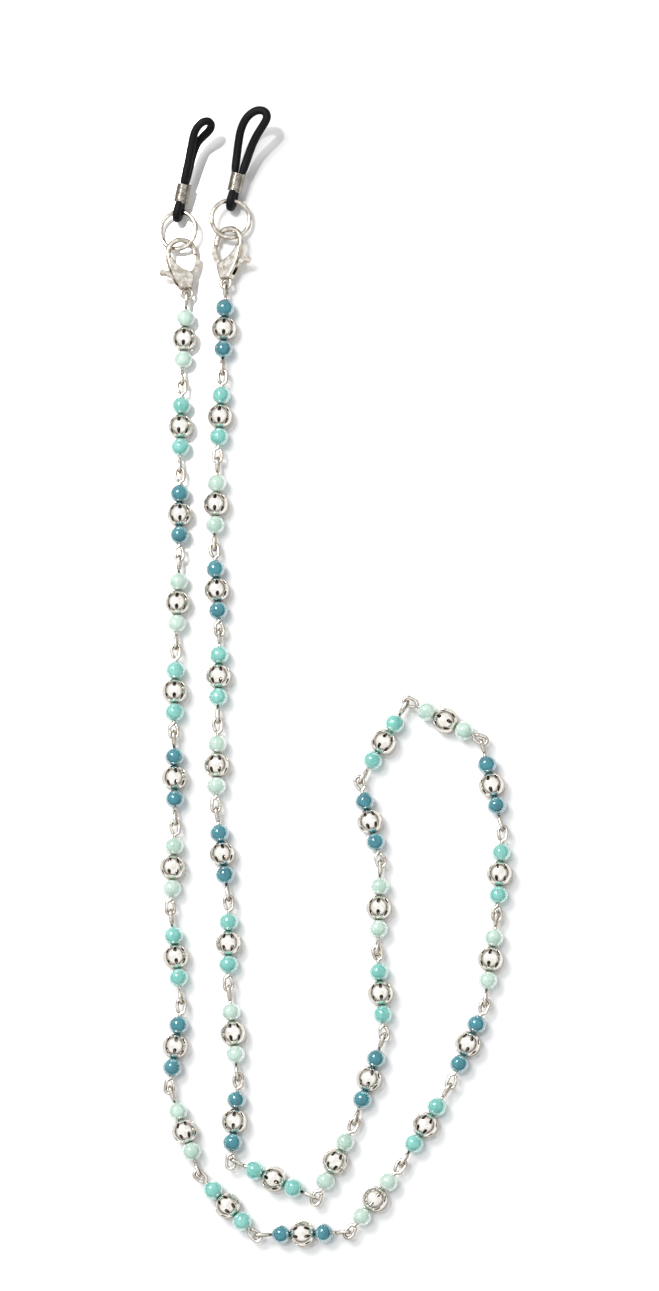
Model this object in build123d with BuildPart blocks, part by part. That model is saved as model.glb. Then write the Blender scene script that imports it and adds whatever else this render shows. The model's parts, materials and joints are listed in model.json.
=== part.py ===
"""Beaded eyeglass chain: 36 wired bead links, two lobster clasps with jump rings,
and a rubber temple loop with a wound sleeve at each end.

Millimetres, +Z up. The chain lies on the plane Z = 0, with its two ends side by side
at +Y. The origin is under the middle of the laid-out metal and beads, leaving out the
rubber loops and their sleeves.
"""

import os
from math import cos, radians, sin, sqrt, tan

from build123d import *

os.makedirs("parts", exist_ok=True)

# Beads and wire of one link. A link's own axis is X, with its centre at the origin.
WIRE_R = 0.35
GLASS_R = 1.95
SILVER_R = 2.6
SILVER_HALF_LENGTH = 2.5
SILVER_WALL = 0.4
SILVER_HOLES = 6
SILVER_HOLE_R = 0.55
SILVER_HOLE_TURN = 15
BORE_R = 0.45
BEAD_GAP = 0.02
GLASS_HALF_LENGTH = sqrt(GLASS_R**2 - BORE_R**2)
GLASS_X = SILVER_HALF_LENGTH + BEAD_GAP + GLASS_HALF_LENGTH

# Eye loop at each end of the wire.
EYE_R = 0.85
EYE_ARC_X = 8.95
EYE_END_X = EYE_ARC_X + EYE_R
SHANK_END_X = 6.5

# Lobster clasp. Its own frame has the eye at the origin, the hook towards +Y, the
# spine on -X and the gate on +X.
CLASP_EYE_R = 1.15
CLASP_EYE_WIRE_R = 0.35
HOOK_WIRE_R = 0.6
HOOK_ARC_R = 2.85
HOOK_ARC_CENTRE = (0.05, 8.8)
NOSE_ANGLE = -16
BODY_HALF_THICKNESS = 1.25
SLOT_HALF_THICKNESS = 0.6
SLOT_BOTTOM_Y = 1.7
SLOT_TOP_Y = 5.2
LEVER_HALF_THICKNESS = 0.55
LEVER_TIP_R = 5.65
NOSE_CLEAR_R = 5.78
NOSE_CUT_ANGLE = -29
PIVOT = (0.0, 3.1)
HUB_R = 1.0
HUB_TOP_Z = 0.05
SPRING_RECESS_R = 1.1
PIN_R = 0.35
PIN_HALF_LENGTH = 1.15
LEVER_BORE_R = 0.41
TAB_END = (-4.55, 5.0)
TAB_END_R = 0.6
TAB_END_HALF_WIDTH = 0.9
SPRING_R = 0.68
SPRING_WIRE_R = 0.07
SPRING_PITCH = 0.16
SPRING_TURNS = 1.75
SPRING_BASE_Z = 0.17

# Jump ring, flat in XY round the origin.
RING_R = 4.0
RING_WIRE_R = 0.48
RING_SPLIT = 0.15
RING_SPLIT_ANGLE = 200

# Rubber temple loop and its wound sleeve. Their frame starts at the wire of the jump
# ring, with +Y along the sleeve and +Z the upper side.
CORD_R = 0.875
CORE_R = 1.2
RING_TURN_R = 1.45
RING_TURN_ANGLE = 70
SLEEVE_START = 1.8
SLEEVE_TURNS = 14
SLEEVE_WIRE_R = 0.155
SLEEVE_PITCH = 0.307
SLEEVE_BORE_R = 1.27
SLEEVE_MID_R = 1.4
SLEEVE_LENGTH = SLEEVE_TURNS * SLEEVE_PITCH
SLEEVE_END = SLEEVE_START + SLEEVE_LENGTH
CORD_GAP = 0.05

# Layout on the table. Each link has its heading in degrees and the play in mm that is
# left in the joint after it, from the left clasp round to the right clasp.
LINKS = (
    (-93, 0.0), (-91, 0.0), (-90, 0.0), (-92, 0.0), (-91, 0.5), (-89, 0.0),
    (-93, 0.0), (-83, 0.0), (-98, 0.5), (-71, 0.5), (-47, 0.5), (1, 0.5),
    (52, 0.5), (58, 0.0), (66, 0.5), (82, 1.0), (86, 0.0), (103, 0.5),
    (151, 0.0), (239, 0.5), (285, 0.5), (268, 1.0), (275, 0.5), (251, 0.5),
    (243, 0.5), (155, 1.0), (85, 0.5), (96, 0.0), (90, 0.0), (98, 0.0),
    (89, 0.0), (89, 0.5), (94, 0.5), (88, 0.0), (87, 0.0), (88, 0.0),
)
FIRST_LINK_CENTRE = (-31.50, 80.48)
TURNED_LINK = 2
END_LINK_ROLL = -9
CLASP_ROLL = 18
RING_ROLL = -13
RING_CENTRE_Y = 13.8
RING_HEIGHT = 2.55
SLEEVE_RISE = 10

# Ends: side factor (the right clasp is the left one turned over), clasp heading, bearing
# of the cord on the ring, heading of the sleeve, and the route of the cord from the
# sleeve round its loop and back.
ENDS = {
    "left": {
        "side": 1,
        "clasp_heading": 98,
        "cord_bearing": 88,
        "sleeve_heading": 76,
        "route": (
            (0.0, 6.2, 0.9), (-0.1, 10.2, 1.1), (-0.2, 13.9, 1.6), (0.0, 17.2, 2.3),
            (1.5, 19.6, 2.5), (2.5, 20.0, 1.7), (3.2, 19.6, 0.5), (3.1, 18.4, -0.3),
            (1.7, 16.0, -0.5), (0.7, 12.9, -1.0), (0.2, 9.5, -1.1), (0.0, 6.2, -0.9),
        ),
    },
    "right": {
        "side": -1,
        "clasp_heading": 86,
        "cord_bearing": 86,
        "sleeve_heading": 75,
        "route": (
            (-0.9, 6.2, 0.0), (-1.0, 9.0, 0.6), (-1.3, 12.1, 1.2), (-1.1, 15.3, 1.8),
            (0.1, 18.2, 2.3), (1.8, 20.1, 2.5), (3.3, 20.7, 2.6), (4.6, 20.1, 2.6),
            (5.0, 18.8, 2.5), (4.5, 17.2, 2.2), (3.4, 14.6, 1.9), (2.6, 11.9, 1.4),
            (1.9, 9.1, 0.8), (0.9, 6.2, 0.0),
        ),
    },
}


def heading_vector(degrees_from_x):
    return Vector(cos(radians(degrees_from_x)), sin(radians(degrees_from_x)), 0)


def eyes_stand(number, at_end):
    """Whether the link's eye stands upright. A link's first eye faces the left clasp."""
    if number < TURNED_LINK:
        return number % 2 == 1
    if number == TURNED_LINK:
        return at_end
    return number % 2 == 0


def reach_across(play, turn):
    """Distance from an upright eye's end wire to the flat eye's wire that it crosses."""
    bend = radians(abs(turn))
    if bend > 0 and play > EYE_R / tan(bend):
        return EYE_R / sin(bend)
    return play * cos(bend) + sqrt(EYE_R**2 - (play * sin(bend)) ** 2)


def chain_layout():
    """Centres and headings of the links, and the hinge point and axis between each pair."""
    centres = [Vector(*FIRST_LINK_CENTRE, SILVER_R)]
    hinges = []
    for number in range(1, len(LINKS)):
        heading, play = LINKS[number - 1]
        next_heading = LINKS[number][0]
        along = heading_vector(heading)
        next_along = heading_vector(next_heading)
        reach = reach_across(play, next_heading - heading)
        if eyes_stand(number, True):
            crossing = centres[-1] + along * EYE_END_X
            centres.append(crossing + next_along * (EYE_ARC_X - play))
            hinges.append((crossing - along * reach, heading_vector(heading + 90)))
        else:
            crossing = centres[-1] + along * (EYE_ARC_X - play)
            centres.append(crossing + next_along * EYE_END_X)
            hinges.append((crossing + next_along * reach, heading_vector(next_heading + 90)))
    return centres, hinges


def link_place(number, centre):
    roll = 90 if eyes_stand(number, False) else 0
    if number in (1, len(LINKS)):
        roll += END_LINK_ROLL
    heading = LINKS[number - 1][0]
    return Location(Plane(origin=centre, x_dir=heading_vector(heading))) * Location((0, 0, 0), (roll, 0, 0))


def end_places(end, eye_point):
    """Places of an end's clasp, jump ring and sleeve, from the point its clasp hangs on."""
    clasp = Location(Plane(origin=eye_point, x_dir=heading_vector(end["clasp_heading"] - 90)))
    ring_centre = eye_point + heading_vector(end["clasp_heading"]) * RING_CENTRE_Y
    ring_centre = Vector(ring_centre.X, ring_centre.Y, RING_HEIGHT)
    ring = Location(Plane(origin=ring_centre, x_dir=heading_vector(end["clasp_heading"] - 90)))
    clasp_rolled = clasp * Location((0, 0, 0), (0, end["side"] * CLASP_ROLL, 0))
    ring_rolled = ring * Location((0, 0, 0), (0, end["side"] * RING_ROLL, 0))
    bearing = end["cord_bearing"] - end["clasp_heading"] + 90
    ring_wire = (ring_rolled * Location(heading_vector(bearing) * RING_R)).position
    sleeve = Location(
        Plane(origin=ring_wire, x_dir=heading_vector(end["sleeve_heading"] - 90))
    ) * Location((0, 0, 0), (SLEEVE_RISE, 0, 0))
    return clasp_rolled, ring_rolled, sleeve


def bend_radii(points):
    """Largest radius at each inner point of a route that its two runs leave room for."""
    vectors = [Vector(*point) for point in points]
    radii = []
    for before, here, after in zip(vectors, vectors[1:], vectors[2:]):
        turn = (here - before).get_angle(after - here)
        run = min((here - before).length, (after - here).length)
        radii.append(0.45 * run / tan(radians(turn / 2)))
    return radii


# --- wire of a link ------------------------------------------------------------------

with BuildPart() as half_wire:
    with BuildLine() as half_wire_line:
        FilletPolyline(
            (0, 0), (SHANK_END_X, 0), (7.35, -EYE_R), (EYE_ARC_X, -EYE_R), radius=(0.6, 0.8)
        )
        ThreePointArc((EYE_ARC_X, -EYE_R), (EYE_END_X, 0), (EYE_ARC_X, EYE_R))
        FilletPolyline((EYE_ARC_X, EYE_R), (7.75, EYE_R), (7.1, 0.42), radius=0.8)
    with BuildSketch(Plane.YZ):
        Circle(WIRE_R)
    sweep(path=half_wire_line.wire())

with BuildPart() as plain_wire:
    add(half_wire.part)
    add(half_wire.part, rotation=(0, 0, 180))

with BuildPart() as turned_wire:
    add(half_wire.part, rotation=(90, 0, 0))
    add(half_wire.part, rotation=(0, 0, 180))

# --- beads ---------------------------------------------------------------------------

with BuildPart() as glass_bead:
    Sphere(GLASS_R)
    Cylinder(BORE_R, 2 * GLASS_R, rotation=(0, 90, 0), mode=Mode.SUBTRACT)

with BuildPart() as silver_bead:
    Sphere(SILVER_R)
    Box(2 * SILVER_HALF_LENGTH, 2 * SILVER_R, 2 * SILVER_R, mode=Mode.INTERSECT)
    Sphere(SILVER_R - SILVER_WALL, mode=Mode.SUBTRACT)
    Cylinder(BORE_R, 2 * SILVER_R, rotation=(0, 90, 0), mode=Mode.SUBTRACT)
    for hole in range(SILVER_HOLES // 2):
        hole_angle = SILVER_HOLE_TURN + hole * 360 / SILVER_HOLES
        Cylinder(SILVER_HOLE_R, 2.1 * SILVER_R, rotation=(hole_angle, 0, 0), mode=Mode.SUBTRACT)

# --- lobster clasp -------------------------------------------------------------------

with BuildPart() as clasp_body:
    with BuildSketch() as web:
        with BuildLine():
            ThreePointArc((-1.15, 0.9), (-2.6, 4.1), (-3.35, 8.0))
            Line((-3.35, 8.0), (-2.25, 8.0))
            ThreePointArc((-2.25, 8.0), (-0.9, 5.9), (1.35, 4.5))
            Polyline((1.35, 4.5), (2.0, 3.5), (1.15, 0.9), (-1.15, 0.9))
        make_face()
    extrude(amount=BODY_HALF_THICKNESS, both=True)
    fillet(clasp_body.faces().filter_by(Axis.Z).edges(), radius=0.35)
    with BuildLine() as hook_line:
        over_top = CenterArc(HOOK_ARC_CENTRE, HOOK_ARC_R, start_angle=NOSE_ANGLE, arc_size=180 - NOSE_ANGLE)
        TangentArc((HOOK_ARC_CENTRE[0] - HOOK_ARC_R, HOOK_ARC_CENTRE[1]), (-1.7, 3.0), tangent=(0, -1))
    with BuildSketch(Plane(origin=over_top @ 0, z_dir=over_top % 0)):
        Circle(HOOK_WIRE_R)
    sweep(path=hook_line.wire())
    Torus(CLASP_EYE_R, CLASP_EYE_WIRE_R)
    with Locations((0, (SLOT_BOTTOM_Y + SLOT_TOP_Y) / 2)):
        Box(9, SLOT_TOP_Y - SLOT_BOTTOM_Y, 2 * SLOT_HALF_THICKNESS, mode=Mode.SUBTRACT)
    with Locations(PIVOT):
        Cylinder(PIN_R, 3 * BODY_HALF_THICKNESS, mode=Mode.SUBTRACT)
    with Locations(Location((*PIVOT, 0), (0, 0, NOSE_CUT_ANGLE))):
        with Locations((0, NOSE_CLEAR_R - 0.5)):
            Box(1.8, 1.0, 2, mode=Mode.SUBTRACT)

with BuildPart() as clasp_lever:
    with BuildSketch():
        with Locations(PIVOT):
            Circle(HUB_R)
        with BuildLine():
            ThreePointArc((0.6, 2.3), (3.05, 5.0), (3.75, 8.6))
            Line((3.75, 8.6), (2.8, 8.6))
            ThreePointArc((2.8, 8.6), (2.2, 5.6), (0.5, 3.9))
            Line((0.5, 3.9), (0.6, 2.3))
        make_face()
        with BuildLine():
            Polyline((-0.3, 2.4), (0.1, 4.05), (-4.5, 5.45), (-4.75, 4.6), close=True)
        make_face()
        with Locations(PIVOT):
            Circle(LEVER_TIP_R, mode=Mode.INTERSECT)
    extrude(amount=LEVER_HALF_THICKNESS, both=True)
    with Locations(TAB_END):
        Cylinder(TAB_END_R, 2 * TAB_END_HALF_WIDTH)
    with Locations((*PIVOT, (HUB_TOP_Z + LEVER_HALF_THICKNESS) / 2)):
        Cylinder(SPRING_RECESS_R, LEVER_HALF_THICKNESS - HUB_TOP_Z, mode=Mode.SUBTRACT)
    with Locations(PIVOT):
        Cylinder(LEVER_BORE_R, 2, mode=Mode.SUBTRACT)

with BuildPart() as clasp_pin:
    with Locations(PIVOT):
        Cylinder(PIN_R, 2 * PIN_HALF_LENGTH)

with BuildPart() as clasp_spring:
    with BuildLine() as spring_line:
        coil = Helix(
            SPRING_PITCH, SPRING_PITCH * SPRING_TURNS, SPRING_R, center=(*PIVOT, SPRING_BASE_Z)
        )
        Line(coil @ 0 - (coil % 0) * 1.2, coil @ 0)
        Line(coil @ 1, coil @ 1 + (coil % 1) * 0.35)
    with BuildSketch(Plane(origin=spring_line.wire() @ 0, z_dir=spring_line.wire() % 0)):
        Circle(SPRING_WIRE_R)
    sweep(path=spring_line.wire())

# --- jump ring -----------------------------------------------------------------------

with BuildPart() as jump_ring:
    Torus(RING_R, RING_WIRE_R)
    with PolarLocations(RING_R, 1, start_angle=RING_SPLIT_ANGLE):
        Box(3 * RING_WIRE_R, RING_SPLIT, 3 * RING_WIRE_R, mode=Mode.SUBTRACT)

# --- wound sleeve --------------------------------------------------------------------

with BuildPart() as coil_sleeve:
    with BuildSketch() as sleeve_section:
        with Locations(((SLEEVE_BORE_R + SLEEVE_MID_R) / 2, (SLEEVE_START + SLEEVE_END) / 2)):
            Rectangle(SLEEVE_MID_R - SLEEVE_BORE_R, SLEEVE_LENGTH)
        with Locations((SLEEVE_MID_R, (SLEEVE_START + SLEEVE_END) / 2)):
            with GridLocations(0, SLEEVE_PITCH, 1, SLEEVE_TURNS):
                Circle(SLEEVE_WIRE_R)
        with Locations((0, (SLEEVE_START + SLEEVE_END) / 2)):
            Rectangle(2 * SLEEVE_BORE_R, 2 * SLEEVE_LENGTH, mode=Mode.SUBTRACT)
    revolve(axis=Axis.Y)


def ring_turn_section():
    """Where the cord leaves its turn round the ring, and where it meets the sleeve."""
    leave = Vector(0, cos(radians(RING_TURN_ANGLE)), sin(radians(RING_TURN_ANGLE))) * RING_TURN_R
    slope = Vector(0, sin(radians(RING_TURN_ANGLE)), -cos(radians(RING_TURN_ANGLE)))
    meet = leave + slope * ((SLEEVE_START - CORD_GAP - leave.Y) / slope.Y)
    return leave, meet


# --- the two ends --------------------------------------------------------------------

link_centres, link_hinges = chain_layout()
eye_points = {
    "left": link_centres[0] - heading_vector(LINKS[0][0]) * EYE_END_X,
    "right": link_centres[-1] + heading_vector(LINKS[-1][0]) * EYE_END_X,
}

for end_name, end in ENDS.items():
    clasp_place, ring_place, sleeve_place = end_places(end, eye_points[end_name])

    for piece_name, piece in (
        ("clasp_body", clasp_body),
        ("clasp_lever", clasp_lever),
        ("clasp_pin", clasp_pin),
        ("clasp_spring", clasp_spring),
    ):
        with BuildPart() as placed:
            if end["side"] < 0:
                mirror(piece.part, about=Plane.YZ)
            else:
                add(piece.part)
        placed.part.label = f"{end_name}_{piece_name}"
        placed.part.location = clasp_place
        export_step(placed.part, f"parts/{end_name}_{piece_name}.step")

    with BuildPart() as ring:
        add(jump_ring.part)
    ring.part.label = f"{end_name}_jump_ring"
    ring.part.location = ring_place
    export_step(ring.part, f"parts/{end_name}_jump_ring.step")

    with BuildPart() as sleeve:
        add(coil_sleeve.part)
    sleeve.part.label = f"{end_name}_coil_sleeve"
    sleeve.part.location = sleeve_place
    export_step(sleeve.part, f"parts/{end_name}_coil_sleeve.step")

    leave, meet = ring_turn_section()
    radii = bend_radii(end["route"])
    with BuildPart() as rubber_loop:
        with BuildLine() as short_loop:
            Line((0, meet.Y, meet.Z), (0, leave.Y, leave.Z))
            ThreePointArc((0, leave.Y, leave.Z), (0, -RING_TURN_R, 0), (0, leave.Y, -leave.Z))
            Line((0, leave.Y, -leave.Z), (0, meet.Y, -meet.Z))
        with BuildSketch(Plane(origin=(0, meet.Y, meet.Z), z_dir=leave - meet)):
            Circle(CORD_R)
        sweep(path=short_loop.wire())
        with BuildLine() as long_loop:
            FilletPolyline(*end["route"], radius=radii)
        with BuildSketch(Plane(origin=long_loop.wire() @ 0, z_dir=long_loop.wire() % 0)):
            Circle(CORD_R)
        sweep(path=long_loop.wire())
        with BuildSketch(Plane.XZ.offset(-(SLEEVE_START - CORD_GAP))):
            Circle(3 * CORD_R)
        extrude(amount=-(SLEEVE_LENGTH + 2 * CORD_GAP), mode=Mode.SUBTRACT)
        with BuildSketch(Plane.XZ.offset(-(SLEEVE_START - 2 * CORD_GAP))):
            Circle(CORE_R)
        extrude(amount=-(SLEEVE_LENGTH + 4 * CORD_GAP))
    rubber_loop.part.label = f"{end_name}_rubber_loop"
    rubber_loop.part.location = sleeve_place
    export_step(rubber_loop.part, f"parts/{end_name}_rubber_loop.step")
    print(end_name, "loop radii", [round(radius, 1) for radius in radii])
    print(end_name, "loop length", round(long_loop.wire().length + short_loop.wire().length, 1))

# --- links ---------------------------------------------------------------------------

for number, centre in enumerate(link_centres, 1):
    wire = turned_wire if number == TURNED_LINK else plain_wire
    with BuildPart() as link:
        add(wire.part)
        add(silver_bead.part)
        with Locations((-GLASS_X, 0, 0), (GLASS_X, 0, 0)):
            add(glass_bead.part)
    link.part.label = f"link_{number:02}"
    link.part.location = link_place(number, centre)
    export_step(link.part, f"parts/link_{number:02}.step")
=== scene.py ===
"""Looks of the beaded eyeglass chain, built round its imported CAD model.

Metres throughout. Each link's wire, silver bead and glass beads are rebuilt round the
link's own axis, which is read from its CAD node. The rubber loops and wound sleeves are
placed by the joints that carry them.
"""
import json
import random
from math import cos, pi, radians, sin, sqrt

import bmesh
import bpy
import numpy as np
from mathutils import Matrix, Vector


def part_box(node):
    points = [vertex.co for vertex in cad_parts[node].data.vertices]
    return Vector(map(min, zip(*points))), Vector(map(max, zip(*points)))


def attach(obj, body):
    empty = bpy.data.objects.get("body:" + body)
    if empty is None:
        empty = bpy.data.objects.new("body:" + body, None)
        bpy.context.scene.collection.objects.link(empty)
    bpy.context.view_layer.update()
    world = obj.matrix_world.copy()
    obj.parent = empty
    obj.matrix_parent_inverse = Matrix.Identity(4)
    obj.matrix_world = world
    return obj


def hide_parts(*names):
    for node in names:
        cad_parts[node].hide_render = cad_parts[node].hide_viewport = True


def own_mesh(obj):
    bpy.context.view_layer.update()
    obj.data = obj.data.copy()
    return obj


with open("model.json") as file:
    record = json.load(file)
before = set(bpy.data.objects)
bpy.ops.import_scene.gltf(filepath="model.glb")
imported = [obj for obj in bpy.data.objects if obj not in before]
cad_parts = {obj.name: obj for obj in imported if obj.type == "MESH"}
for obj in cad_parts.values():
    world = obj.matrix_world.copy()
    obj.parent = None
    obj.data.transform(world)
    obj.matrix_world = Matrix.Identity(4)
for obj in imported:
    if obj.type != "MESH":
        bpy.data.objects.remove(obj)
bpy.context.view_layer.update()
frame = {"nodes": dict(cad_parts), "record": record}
JOINTS = {joint["name"]: joint for joint in frame["record"]["behaviour"]["joints"]}
SLOTS = {part["node"]: part["material_slot"] for part in frame["record"]["subparts"]}
MM = 0.001
random.seed(7)

# Camera: tilted a little from straight above, towards the lower right of the picture.
VIEW_TILT = radians(14)
VIEW_AZIMUTH = radians(40)
VIEW_DISTANCE = 1.5
VIEW_LENS = 201.6
VIEW_AIM = Vector((-1.10, 14.70, 0)) * MM

# Wire of a link, in mm from the link's centre: X is along its axis, and SIDE across it.
# Its tips and eyes are the CAD points that lie beyond LINK_TIP_X and LINK_EYE_X.
WIRE_R = 0.35
WIRE_SIDES = 14
EYE_R = 0.85
EYE_ARC_X = 8.95
EYE_FOOT_X = 6.55
EYE_SHOULDER_X = 7.45
EYE_TAIL_X = 7.15
EYE_TAIL_SIDE = 0.40
LINK_TIP_X = 9.6
LINK_EYE_X = 8.2

# Glass beads, in mm. The bore's mouth is softened over GLASS_MOUTH in radius.
GLASS_R = 1.95
GLASS_BORE_R = 0.45
GLASS_MOUTH = 0.12
GLASS_X = 4.417
GLASS_SIDES = 48
GLASS_RINGS = 32
GLASS_STRETCH_AND_SQUASH = ((1.0, 0.0), (0.985, -0.012), (0.97, -0.008))

# Silver bead: radius, wall and edge in mm, and the latitudes of its rows of points. Every
# other face above the rows in HOLE_ROWS is a hole. HOLE_PINCH moves the points of a row
# together or apart, as a share of a column, which gives the holes their pointed shape.
SILVER_R = 2.6
SILVER_WALL = 0.34
SILVER_EDGE = 0.07
SILVER_COLUMNS = 16
SILVER_LATITUDES = (-74, -62, -49, -14, 14, 49, 62, 74)
HOLE_ROWS = (2, 4)
HOLE_PINCH = {2: 0.28, 3: -0.06, 4: -0.06, 5: 0.28}
RECESS_START = 0.04
RECESS_END = 0.2

# Rubber cord and wound sleeve, in mm, from the ring's wire along the sleeve.
CORD_R = 0.875
CORD_SQUEEZED_R = 0.66
CORD_SIDES = 20
RING_TURN_R = 1.45
RING_TURN_SLACK = 1.03
RING_TURN_ANGLES = (55, 80, 115, 150, 180, 210, 245, 280, 305)
TURN_EASE = 1.4
LOOP_EASE = 2.2
SLEEVE_START = 1.8
SLEEVE_TURNS = 14
SLEEVE_PITCH = 0.307
SLEEVE_WIRE_R = 0.155
SLEEVE_WIRE_SIDES = 10
SLEEVE_STEPS = 36
SLEEVE_MID_R = 1.4
SLEEVE_MOUTH = SLEEVE_START + SLEEVE_TURNS * SLEEVE_PITCH

# The two strands inside a sleeve, in mm: half the distance between them at its foot and
# higher up, how far in they are narrowed, and their rise from there to the temple loop.
# They make a quarter turn where the loop lies across the turn round the ring.
STRAND_FOOT_OFFSET = 0.86
STRAND_OFFSET = 0.58
STRAND_FOOT = 0.9
STRAND_RISE = 2.65
STRAND_QUARTER_TURNS = {"left": 0, "right": 1}

# Route of the cord from inside the sleeve round its temple loop and back, in mm. It leaves
# the CAD's route by up to 0.5 mm on the left and 1.3 mm on the right, to follow the photo.
LOOP_ROUTES = {
    "left": (
        (0.0, 5.2, 0.62), (0.0, 6.4, 0.85), (0.1, 10.0, 1.0), (0.1, 13.9, 1.4),
        (0.2, 17.2, 2.1), (1.5, 19.4, 2.4), (2.6, 19.9, 1.7), (3.2, 19.3, 0.6),
        (2.9, 18.0, -0.2), (1.6, 16.4, -0.5), (0.6, 14.9, -0.8), (0.2, 12.4, -0.95),
        (0.1, 9.5, -0.95), (0.0, 6.4, -0.85), (0.0, 5.2, -0.62),
    ),
    "right": (
        (-0.62, 5.2, 0.0), (-0.85, 6.4, 0.0), (-1.1, 9.0, 0.0), (-1.35, 12.0, 0.4),
        (-1.3, 15.0, 1.4), (-0.5, 17.6, 2.2), (1.0, 19.3, 2.5), (2.5, 19.8, 2.6),
        (3.6, 19.4, 2.6), (4.0, 18.3, 2.5), (3.3, 16.5, 2.1), (2.2, 14.0, 1.3),
        (1.5, 11.4, 0.4), (1.15, 8.8, 0.0), (0.85, 6.4, 0.0), (0.62, 5.2, 0.0),
    ),
}


# --- camera --------------------------------------------------------------------------

def look_along(forward, position):
    """Matrix of a camera or light at position, looking along forward with +Y up."""
    forward = forward.normalized()
    right = forward.cross(Vector((0, 1, 0))).normalized()
    rotation = Matrix((right, right.cross(forward), -forward)).transposed()
    return Matrix.Translation(position) @ rotation.to_4x4()


view_forward = Vector((
    -sin(VIEW_TILT) * sin(VIEW_AZIMUTH), sin(VIEW_TILT) * cos(VIEW_AZIMUTH), -cos(VIEW_TILT)
))
camera_data = bpy.data.cameras.new("camera")
camera_data.lens = VIEW_LENS
camera_data.sensor_width = 36
camera_data.sensor_height = 36
camera_data.sensor_fit = "VERTICAL"
camera_data.clip_start = 0.05
camera_data.clip_end = 20
camera = bpy.data.objects.new("camera", camera_data)
camera.matrix_world = look_along(view_forward, VIEW_AIM - view_forward * VIEW_DISTANCE)
bpy.context.collection.objects.link(camera)
bpy.context.scene.camera = camera


# --- materials -----------------------------------------------------------------------

def new_material(name, **inputs):
    """A Principled material with these socket values; returns it with its tree and shader."""
    material = bpy.data.materials.new(name)
    material.use_nodes = True
    shader = material.node_tree.nodes["Principled BSDF"]
    for socket, value in inputs.items():
        shader.inputs[socket.replace("_", " ")].default_value = value
    return material, material.node_tree, shader


def node(tree, kind, **values):
    """A new node with these input values, or properties where it has no such input."""
    made = tree.nodes.new(kind)
    for name, value in values.items():
        if name in made.inputs:
            made.inputs[name].default_value = value
        else:
            setattr(made, name, value)
    return made


def object_noise(tree, scale, detail=4.0, roughness=0.55):
    """Noise that stays with the piece, from 0 to 1."""
    place = node(tree, "ShaderNodeTexCoord")
    noise = node(tree, "ShaderNodeTexNoise", Scale=scale, Detail=detail, Roughness=roughness)
    tree.links.new(place.outputs["Object"], noise.inputs["Vector"])
    return noise.outputs["Fac"]


def ramp(tree, factor, stops):
    """A colour ramp over factor, with stops of (position, rgb)."""
    made = node(tree, "ShaderNodeValToRGB")
    elements = made.color_ramp.elements
    while len(elements) < len(stops):
        elements.new(0.5)
    for element, (position, colour) in zip(elements, stops):
        element.position = position
        element.color = (*colour, 1)
    tree.links.new(factor, made.inputs["Fac"])
    return made.outputs["Color"]


def grey_ramp(tree, factor, low, high, start=0.3, end=0.7):
    return ramp(tree, factor, ((start, (low,) * 3), (end, (high,) * 3)))


def bump(tree, shader, height, strength, distance):
    made = node(tree, "ShaderNodeBump", Strength=strength, Distance=distance)
    tree.links.new(height, made.inputs["Height"])
    tree.links.new(made.outputs["Normal"], shader.inputs["Normal"])


RIM_TINT = (0.42, 0.36, 0.31, 1)
# Dark colour for the patina in recesses, and also for the painted shade in creases.
TARNISH_AND_PAINTED_SHADE = (0.30, 0.25, 0.20, 1)


def silver_material(name, bright, dark, roughness, dents):
    """Bright plate with dull patches, fine dents, a dark patina in recesses, and painted
    shade from ambient occlusion in creases.
    """
    material, tree, shader = new_material(
        name, Metallic=1.0, Specular_Tint=RIM_TINT
    )
    patches = ramp(tree, object_noise(tree, 900, 3), ((0.38, dark), (0.62, bright)))
    recess = node(tree, "ShaderNodeAttribute", attribute_name="recess")
    tarnish_and_shade = node(tree, "ShaderNodeMix", data_type="RGBA")
    # Painted shade: an ambient occlusion mask darkens creases and contacts towards the dark
    # colour.
    creases = node(tree, "ShaderNodeAmbientOcclusion", samples=4, Distance=0.001)
    painted_crease_shade = grey_ramp(tree, creases.outputs["AO"], 0.75, 0.0, 0.25, 0.85)
    patina_or_shade_mask = node(tree, "ShaderNodeMath", operation="MAXIMUM")
    tree.links.new(recess.outputs["Fac"], patina_or_shade_mask.inputs[0])
    tree.links.new(painted_crease_shade, patina_or_shade_mask.inputs[1])
    # The dark colour is patina where the recess attribute is set, and painted shade where the
    # occlusion mask is.
    tree.links.new(patina_or_shade_mask.outputs["Value"], tarnish_and_shade.inputs[0])
    tree.links.new(patches, tarnish_and_shade.inputs[6])
    tarnish_and_shade.inputs[7].default_value = TARNISH_AND_PAINTED_SHADE
    tree.links.new(tarnish_and_shade.outputs[2], shader.inputs["Base Color"])
    rough = grey_ramp(tree, object_noise(tree, 1500), roughness * 0.7, roughness * 1.5)
    tree.links.new(rough, shader.inputs["Roughness"])
    bump(tree, shader, object_noise(tree, 1400, 2), dents, 0.00006)
    return material


def glass_material(name, deep, milky, glow):
    """Milky glass: cloudy colour, a clear gloss, and light that goes some way in."""
    material, tree, shader = new_material(
        name, Roughness=0.05, IOR=1.52, Coat_Weight=1.0, Coat_Roughness=0.02,
        Transmission_Weight=0.3, Subsurface_Weight=0.6,
        Subsurface_Scale=0.0014, Subsurface_Radius=glow,
    )
    clouds = ramp(tree, object_noise(tree, 380, 5, 0.62), ((0.34, deep), (0.66, milky)))
    tree.links.new(clouds, shader.inputs["Base Color"])
    bump(tree, shader, object_noise(tree, 500, 2), 0.06, 0.0001)
    return material


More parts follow.
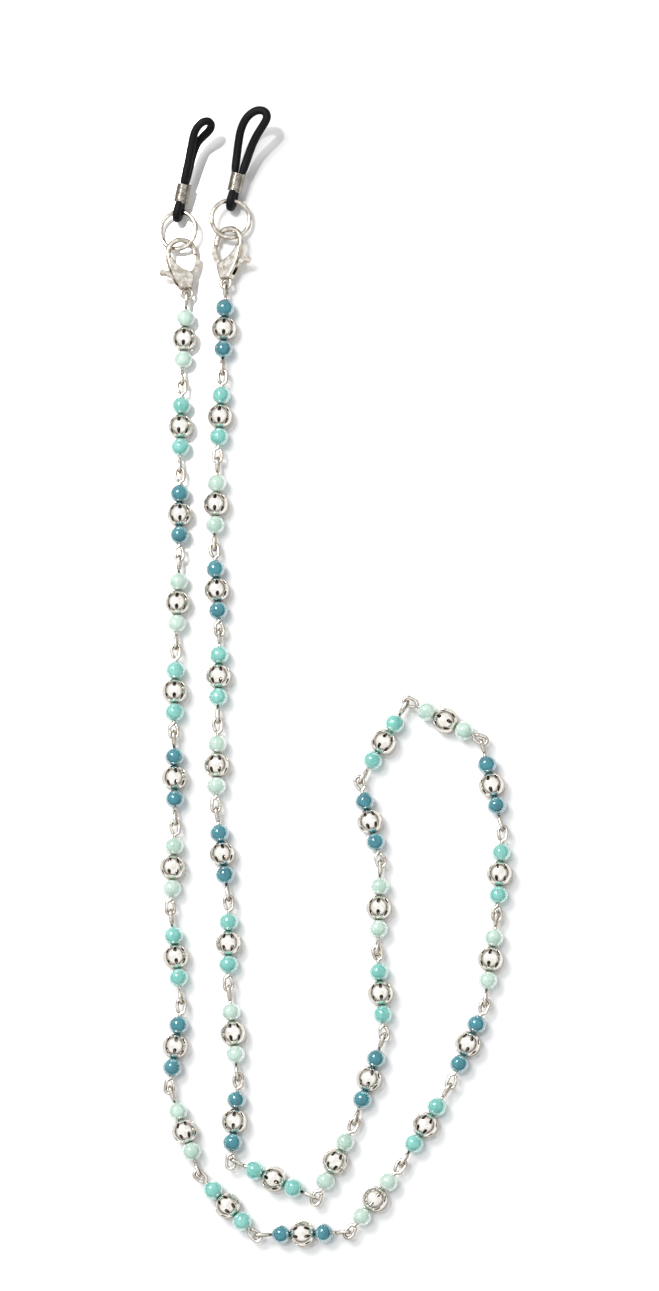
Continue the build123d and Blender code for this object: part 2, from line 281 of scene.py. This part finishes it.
def rubber_material():
    """Matte black rubber with moulding grain and a little pale dust."""
    material, tree, shader = new_material("rubber_matte", Specular_IOR_Level=0.15)
    dust = ramp(
        tree, object_noise(tree, 2600, 6, 0.7),
        ((0.45, (0.003, 0.003, 0.004)), (0.82, (0.010, 0.009, 0.011))),
    )
    tree.links.new(dust, shader.inputs["Base Color"])
    rough = grey_ramp(tree, object_noise(tree, 1800), 0.46, 0.62)
    tree.links.new(rough, shader.inputs["Roughness"])
    bump(tree, shader, object_noise(tree, 5200, 3), 0.35, 0.00004)
    return material


GLASS = {
    "glass_pale": glass_material(
        "glass_pale_milky", (0.44, 0.62, 0.53), (0.64, 0.79, 0.71), (0.8, 1.0, 0.9)
    ),
    "glass_aqua": glass_material(
        "glass_aqua_milky", (0.13, 0.48, 0.43), (0.30, 0.67, 0.60), (0.4, 1.0, 0.9)
    ),
    "glass_teal": glass_material(
        "glass_teal_milky", (0.004, 0.15, 0.20), (0.022, 0.29, 0.35), (0.2, 0.9, 1.0)
    ),
}
WIRE_SILVER = silver_material(
    "silver_wire", (0.82, 0.78, 0.72), (0.48, 0.43, 0.36), 0.12, 0.10
)
BEAD_SILVER = silver_material(
    "silver_bead", (0.95, 0.92, 0.87), (0.80, 0.76, 0.69), 0.16, 0.30
)
CLASP_SILVER = silver_material(
    "silver_clasp", (0.80, 0.76, 0.69), (0.48, 0.43, 0.36), 0.15, 0.18
)
RING_SILVER = silver_material(
    "silver_ring", (0.82, 0.79, 0.73), (0.50, 0.45, 0.38), 0.11, 0.10
)
COIL_SILVER = silver_material(
    "nickel_coil", (0.62, 0.58, 0.53), (0.36, 0.33, 0.29), 0.16, 0.08
)
SPRING_STEEL = silver_material(
    "spring_steel", (0.62, 0.60, 0.58), (0.50, 0.48, 0.46), 0.25, 0.05
)
RUBBER = rubber_material()


# --- mesh helpers --------------------------------------------------------------------

DOME_ANGLES = (0.5, 1.0, 1.4)
DOME_DEPTH = 0.7
SAME_POINT = 1e-6


def add_object(name, mesh, material, body):
    """Links a piece, gives it its material and makes it ride on its CAD body."""
    piece = bpy.data.objects.new(name, mesh)
    bpy.context.collection.objects.link(piece)
    mesh.materials.append(material)
    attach(piece, body)
    return piece


def mesh_from(name, points, faces):
    """A smooth-shaded mesh."""
    mesh = bpy.data.meshes.new(name)
    mesh.from_pydata([tuple(point) for point in points], [], faces)
    mesh.update()
    mesh.polygons.foreach_set("use_smooth", [True] * len(mesh.polygons))
    return mesh


def ease(share):
    """Goes from 0 to 1 as share does, and starts and ends level."""
    return share * share * (3 - 2 * share)


def tube(name, path, radii, sides):
    """A round tube along path, of one radius or of one for each point, with domed ends."""
    path = [Vector(point) for point in path]
    radii = list(radii) if hasattr(radii, "__len__") else [radii] * len(path)
    tangents = []
    for index in range(len(path)):
        before = path[max(index - 1, 0)]
        after = path[min(index + 1, len(path) - 1)]
        tangents.append((after - before).normalized())
    for end, step in ((0, -1), (-1, 1)):
        tip, out, radius = path[end], tangents[end] * step, radii[end]
        for angle in DOME_ANGLES:
            place = 0 if end == 0 else len(path)
            path.insert(place, tip + out * radius * sin(angle) * DOME_DEPTH)
            radii.insert(place, radius * cos(angle))
            tangents.insert(place, tangents[end])
    side = tangents[0].orthogonal().normalized()
    points, faces = [], []
    for centre, tangent, radius in zip(path, tangents, radii):
        side = (side - tangent * side.dot(tangent)).normalized()
        across = tangent.cross(side)
        for step in range(sides):
            turn = 2 * pi * step / sides
            points.append(centre + (side * cos(turn) + across * sin(turn)) * radius)
    for ring in range(len(path) - 1):
        for step in range(sides):
            here, beside = ring * sides + step, ring * sides + (step + 1) % sides
            faces.append((here, beside, beside + sides, here + sides))
    faces.append(tuple(reversed(range(sides))))
    faces.append(tuple(range((len(path) - 1) * sides, len(path) * sides)))
    return mesh_from(name, points, faces)


def evaluated_mesh(carrier):
    """A new mesh of the object with its modifiers applied."""
    bpy.context.view_layer.update()
    return bpy.data.meshes.new_from_object(
        carrier.evaluated_get(bpy.context.evaluated_depsgraph_get())
    )


def smooth_line(points, resolution):
    """Points along the NURBS spline that has these control points."""
    curve = bpy.data.curves.new("route", "CURVE")
    curve.dimensions = "3D"
    curve.resolution_u = resolution
    spline = curve.splines.new("NURBS")
    spline.points.add(len(points) - 1)
    for control, point in zip(spline.points, points):
        control.co = (*point, 1)
    spline.order_u = 3
    spline.use_endpoint_u = True
    carrier = bpy.data.objects.new("route", curve)
    bpy.context.collection.objects.link(carrier)
    line = bpy.data.meshes.new_from_object(carrier)
    result = []
    for vertex in line.vertices:
        if not result or (vertex.co - result[-1]).length > SAME_POINT:
            result.append(vertex.co.copy())
    bpy.data.objects.remove(carrier)
    bpy.data.curves.remove(curve)
    bpy.data.meshes.remove(line)
    return result


# --- wire of a link ------------------------------------------------------------------

def half_wire_line():
    """(along, across) points in mm from the middle of the link round one eye to its tail."""
    points = [(0.0, 0.0), (3.0, 0.0), (6.0, 0.0)]
    for step in range(7):
        share = step / 6
        x = EYE_FOOT_X + (EYE_SHOULDER_X - EYE_FOOT_X) * share
        points.append((x, -EYE_R * ease(share)))
    for step in range(21):
        turn = -pi / 2 + pi * step / 20
        points.append((EYE_ARC_X + EYE_R * cos(turn), EYE_R * sin(turn)))
    for step in range(1, 9):
        share = step / 8
        bend = share ** 2.6
        points.append((
            EYE_ARC_X + (EYE_TAIL_X - EYE_ARC_X) * share,
            EYE_R + (EYE_TAIL_SIDE - EYE_R) * bend,
        ))
    return points


def node_points(name):
    """The points of a CAD node, as an array of rows."""
    mesh = frame["nodes"][name].data
    flat = np.empty(len(mesh.vertices) * 3)
    mesh.vertices.foreach_get("co", flat)
    return flat.reshape(-1, 3)


def link_axes(name, towards):
    """Centre and axis of a link, and the direction across each of its two eyes."""
    points = node_points(name)
    centre = (points.min(0) + points.max(0)) / 2
    offset = points - centre
    axis = np.linalg.svd(offset - offset.mean(0), full_matrices=False)[2][0]
    axis *= np.sign(axis @ towards)
    for _ in range(3):
        along = offset @ axis
        tips = along > LINK_TIP_X * MM, along < -LINK_TIP_X * MM
        axis = offset[tips[0]].mean(0) - offset[tips[1]].mean(0)
        axis /= np.linalg.norm(axis)
    along = offset @ axis
    level = np.cross((0, 0, 1), axis)
    crosses = []
    for end in (along < -LINK_EYE_X * MM, along > LINK_EYE_X * MM):
        spread = offset[end] - np.outer(along[end], axis)
        across = np.linalg.svd(spread - spread.mean(0), full_matrices=False)[2][0]
        upright = abs(across[2]) > 0.7
        across *= np.sign(across[2] if upright else across @ level)
        crosses.append(Vector(across))
    return Vector(centre), Vector(axis), crosses


def link_wire(name, centre, axis, crosses):
    """The whole wire of a link, from one eye's tail to the other's."""
    half = half_wire_line()
    first = [centre - (axis * x + crosses[0] * y) * MM for x, y in reversed(half)]
    second = [centre + (axis * x + crosses[1] * y) * MM for x, y in half[1:]]
    return tube(name, first + second, WIRE_R * MM, WIRE_SIDES)


# --- beads ---------------------------------------------------------------------------

def glass_bead_mesh(name, stretch, squash):
    """A round bead with a bore along X and a softened edge where the bore comes out."""
    profile = []
    edge = sqrt(GLASS_R ** 2 - (GLASS_BORE_R + GLASS_MOUTH) ** 2)
    for step in range(GLASS_RINGS + 1):
        angle = pi * (step / GLASS_RINGS)
        x = -cos(angle) * edge
        profile.append((x, sqrt(max(GLASS_R ** 2 - x * x, 0))))
    profile.append((edge - 0.05, GLASS_BORE_R + 0.03))
    profile.append((edge - 0.14, GLASS_BORE_R))
    profile.append((-edge + 0.14, GLASS_BORE_R))
    profile.append((-edge + 0.05, GLASS_BORE_R + 0.03))
    points, faces = [], []
    for x, radius in profile:
        for step in range(GLASS_SIDES):
            turn = 2 * pi * step / GLASS_SIDES
            oval = 1 + squash * cos(2 * turn)
            y, z = radius * oval * cos(turn), radius * oval * sin(turn)
            points.append(Vector((x * stretch, y, z)) * MM)
    for ring in range(len(profile)):
        first, second = ring * GLASS_SIDES, (ring + 1) % len(profile) * GLASS_SIDES
        for step in range(GLASS_SIDES):
            beside = (step + 1) % GLASS_SIDES
            faces.append((first + step, second + step, second + beside, first + beside))
    return mesh_from(name, points, faces)


def silver_bead_mesh(name):
    """A hollow round bead whose wall is pierced by two rows of pointed holes."""
    column = 2 * pi / SILVER_COLUMNS
    bm = bmesh.new()
    rows = []
    for row, latitude in enumerate(SILVER_LATITUDES):
        ring = []
        lat = radians(latitude)
        for index in range(SILVER_COLUMNS):
            pinch = HOLE_PINCH.get(row, 0.0) * (1 if index % 2 == 0 else -1)
            angle = index * column + pinch * column
            outward = Vector((sin(lat), cos(lat) * cos(angle), cos(lat) * sin(angle)))
            ring.append(bm.verts.new(outward * (SILVER_R * MM)))
        rows.append(ring)
    for row in range(len(rows) - 1):
        for index in range(SILVER_COLUMNS):
            if row in HOLE_ROWS and index % 2 == 0:
                continue
            beside = (index + 1) % SILVER_COLUMNS
            low, high = rows[row], rows[row + 1]
            bm.faces.new((low[index], low[beside], high[beside], high[index]))
    bmesh.ops.recalc_face_normals(bm, faces=bm.faces)
    base = bpy.data.meshes.new(name + "_base")
    bm.to_mesh(base)
    bm.free()
    carrier = bpy.data.objects.new(name, base)
    bpy.context.collection.objects.link(carrier)
    rounded = carrier.modifiers.new("rounded", "SUBSURF")
    rounded.levels = 3
    surface = evaluated_mesh(carrier)
    for vertex in surface.vertices:
        vertex.co = vertex.co.normalized() * (SILVER_R * MM)
    carrier.modifiers.clear()
    carrier.data = surface
    wall = carrier.modifiers.new("wall", "SOLIDIFY")
    wall.thickness = SILVER_WALL * MM
    wall.offset = -1
    worn = carrier.modifiers.new("worn", "BEVEL")
    worn.width = SILVER_EDGE * MM
    worn.segments = 2
    worn.angle_limit = radians(50)
    mesh = evaluated_mesh(carrier)
    bpy.data.objects.remove(carrier)
    mesh.name = name
    mesh.polygons.foreach_set("use_smooth", [True] * len(mesh.polygons))
    recess = mesh.attributes.new("recess", "FLOAT", "POINT")
    outer, inner = (SILVER_R - RECESS_START) * MM, (SILVER_R - RECESS_END) * MM
    for vertex, value in zip(mesh.vertices, recess.data):
        value.value = min(max((outer - vertex.co.length) / (outer - inner), 0), 1)
    return mesh


def placed_copy(mesh, matrix):
    """A copy of mesh, moved in its own coordinates."""
    copy = mesh.copy()
    copy.transform(matrix)
    return copy


GLASS_SHAPES = [
    glass_bead_mesh(f"glass_bead_{number}", stretch, squash)
    for number, (stretch, squash) in enumerate(GLASS_STRETCH_AND_SQUASH)
]
SILVER_SHAPE = silver_bead_mesh("silver_bead")
link_nodes = sorted(name for name in frame["nodes"] if name.startswith("link_"))
centres = [
    Vector(sum((np.array(corner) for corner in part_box(name)), np.zeros(3)) / 2)
    for name in link_nodes
]

for number, name in enumerate(link_nodes):
    before = centres[max(number - 1, 0)]
    after = centres[min(number + 1, len(centres) - 1)]
    centre, axis, crosses = link_axes(name, np.array(after - before))
    body = "bead_" + name
    wire_mesh = link_wire(name + "_wire", centre, axis, crosses)
    wire = add_object(name + "_wire", wire_mesh, WIRE_SILVER, body)
    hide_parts(name)
    across = axis.orthogonal().normalized()
    upright = Matrix((axis, across, axis.cross(across))).transposed().to_4x4()
    spin = Matrix.Rotation(random.uniform(0, 2 * pi), 4, "X")
    silver = placed_copy(SILVER_SHAPE, Matrix.Translation(centre) @ upright @ spin)
    add_object(name + "_silver_bead", silver, BEAD_SILVER, body)
    for end_name, side in (("a", -1), ("b", 1)):
        spin = Matrix.Rotation(random.uniform(0, 2 * pi), 4, "X")
        place = Matrix.Translation(centre + axis * (side * GLASS_X * MM)) @ upright @ spin
        shape = placed_copy(random.choice(GLASS_SHAPES), place)
        add_object(f"{name}_glass_{end_name}", shape, GLASS[SLOTS[name]], body)

# --- rubber loops and wound sleeves --------------------------------------------------

def helix_line():
    """The wound wire of a sleeve, from end to end."""
    points = []
    rise = SLEEVE_MOUTH - SLEEVE_START - 2 * SLEEVE_WIRE_R
    for step in range(SLEEVE_TURNS * SLEEVE_STEPS + 1):
        turn = 2 * pi * step / SLEEVE_STEPS
        y = SLEEVE_START + SLEEVE_WIRE_R + rise * (step / (SLEEVE_TURNS * SLEEVE_STEPS))
        points.append(Vector((SLEEVE_MID_R * cos(turn), y, SLEEVE_MID_R * sin(turn))))
    return points


def ring_turn_route(quarter_turns):
    """The cord's turn round the jump ring, with both strands led up through the sleeve."""
    strand = []
    for share in (1.0, 0.67, 0.33, 0.0):
        angle = share * quarter_turns * pi / 2
        y = SLEEVE_START + STRAND_FOOT + share * STRAND_RISE
        strand.append(Vector((-STRAND_OFFSET * sin(angle), y, STRAND_OFFSET * cos(angle))))
    points = strand + [Vector((0, SLEEVE_START, STRAND_FOOT_OFFSET))]
    reach = RING_TURN_R * RING_TURN_SLACK
    for angle in RING_TURN_ANGLES:
        points.append(Vector((0, reach * cos(radians(angle)), reach * sin(radians(angle)))))
    far_strand = [Vector((-point.x, point.y, -point.z)) for point in reversed(strand)]
    return points + [Vector((0, SLEEVE_START, -STRAND_FOOT_OFFSET))] + far_strand


def squeezed_radii(line, distance, held=0.0):
    """The cord's radii along line, and its length. At both ends the cord is narrow over
    held, and then widens over distance."""
    lengths = [0.0]
    for before, after in zip(line, line[1:]):
        lengths.append(lengths[-1] + (after - before).length)
    total = lengths[-1]
    radii = []
    for length in lengths:
        share = min(max(min(length, total - length) - held, 0) / distance, 1)
        radii.append((CORD_SQUEEZED_R + (CORD_R - CORD_SQUEEZED_R) * ease(share)) * MM)
    return radii, total


def placed(points, place):
    """Points in mm on the sleeve's axes, as metres in the frame."""
    return [place @ (Vector(point) * MM) for point in points]


for end_name in ("left", "right"):
    lift, slide = JOINTS[f"{end_name}_loop_lift"], JOINTS[f"{end_name}_sleeve_slide"]
    x_axis, y_axis = Vector(lift["axis"]).normalized(), Vector(slide["axis"]).normalized()
    place = Matrix.Translation(Vector(lift["pos_m"])) @ Matrix(
        (x_axis, y_axis, x_axis.cross(y_axis))
    ).transposed().to_4x4()

    coil_line = placed(helix_line(), place)
    coil = tube(
        f"{end_name}_wound_sleeve", coil_line, SLEEVE_WIRE_R * MM, SLEEVE_WIRE_SIDES
    )
    sleeve = add_object(
        f"{end_name}_wound_sleeve", coil, COIL_SILVER, f"{end_name}_sleeve"
    )
    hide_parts(f"{end_name}_coil_sleeve")

    turn_route = ring_turn_route(STRAND_QUARTER_TURNS[end_name])
    turn_line = smooth_line(placed(turn_route, place), 8)
    radii, _ = squeezed_radii(turn_line, TURN_EASE * MM, STRAND_RISE * MM)
    turn_mesh = tube(f"{end_name}_ring_turn", turn_line, radii, CORD_SIDES)
    add_object(f"{end_name}_rubber_ring_turn", turn_mesh, RUBBER, f"{end_name}_rubber")

    loop_line = smooth_line(placed(LOOP_ROUTES[end_name], place), 12)
    radii, length = squeezed_radii(loop_line, LOOP_EASE * MM)
    loop_mesh = tube(f"{end_name}_temple_loop", loop_line, radii, CORD_SIDES)
    loop = add_object(f"{end_name}_temple_loop", loop_mesh, RUBBER, f"{end_name}_rubber")
    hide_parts(f"{end_name}_rubber_loop")
    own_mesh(loop)

# --- clasps and rings keep their CAD shapes ------------------------------------------

CAD_FINISHES = {
    "clasp_body": CLASP_SILVER,
    "clasp_lever": CLASP_SILVER,
    "clasp_pin": CLASP_SILVER,
    "clasp_spring": SPRING_STEEL,
    "jump_ring": RING_SILVER,
}
for name, piece in frame["nodes"].items():
    for ending, material in CAD_FINISHES.items():
        if name.endswith(ending):
            piece.data.materials.clear()
            piece.data.materials.append(material)

# --- floor, lights and world ---------------------------------------------------------

FLOOR_HALF = 1.5
KEY_POSITION = Vector((-0.40, 0.42, 0.98))

floor_corners = [
    (x * FLOOR_HALF, y * FLOOR_HALF, 0) for x, y in ((-1, -1), (1, -1), (1, 1), (-1, 1))
]
floor_mesh = mesh_from("floor", floor_corners, [(0, 1, 2, 3)])
floor_material, _, floor_shader = new_material("floor_white", Roughness=0.04, IOR=3.0)
floor_shader.inputs["Base Color"].default_value = (0.80, 0.80, 0.80, 1)
floor = bpy.data.objects.new("floor", floor_mesh)
floor_mesh.materials.append(floor_material)
bpy.context.collection.objects.link(floor)

# One softbox, from the upper left of the picture.
key_light = bpy.data.lights.new("key", "AREA")
key_light.shape = "RECTANGLE"
key_light.size = 0.40
key_light.size_y = 0.40
key_light.energy = 9.5
key_light.color = (1.0, 0.99, 0.97)
key = bpy.data.objects.new("key", key_light)
key.matrix_world = look_along(-KEY_POSITION, KEY_POSITION)
bpy.context.collection.objects.link(key)

# A white tent: bright overhead, darker and warmer towards the horizon.
world = bpy.data.worlds.new("world")
world.use_nodes = True
sky = world.node_tree
direction = node(sky, "ShaderNodeTexCoord")
height = node(sky, "ShaderNodeSeparateXYZ")
sky.links.new(direction.outputs["Generated"], height.inputs["Vector"])
tent = ramp(sky, height.outputs["Z"], (
    (0.0, (0.10, 0.08, 0.06)), (0.14, (0.17, 0.15, 0.12)), (0.24, (0.46, 0.43, 0.39)),
    (0.36, (0.72, 0.71, 0.69)), (0.52, (1.07, 1.08, 1.10)),
))
sky.links.new(tent, sky.nodes["Background"].inputs["Color"])
sky.nodes["Background"].inputs["Strength"].default_value = 1.0
bpy.context.scene.world = world
bpy.context.scene.view_settings.view_transform = "Standard"
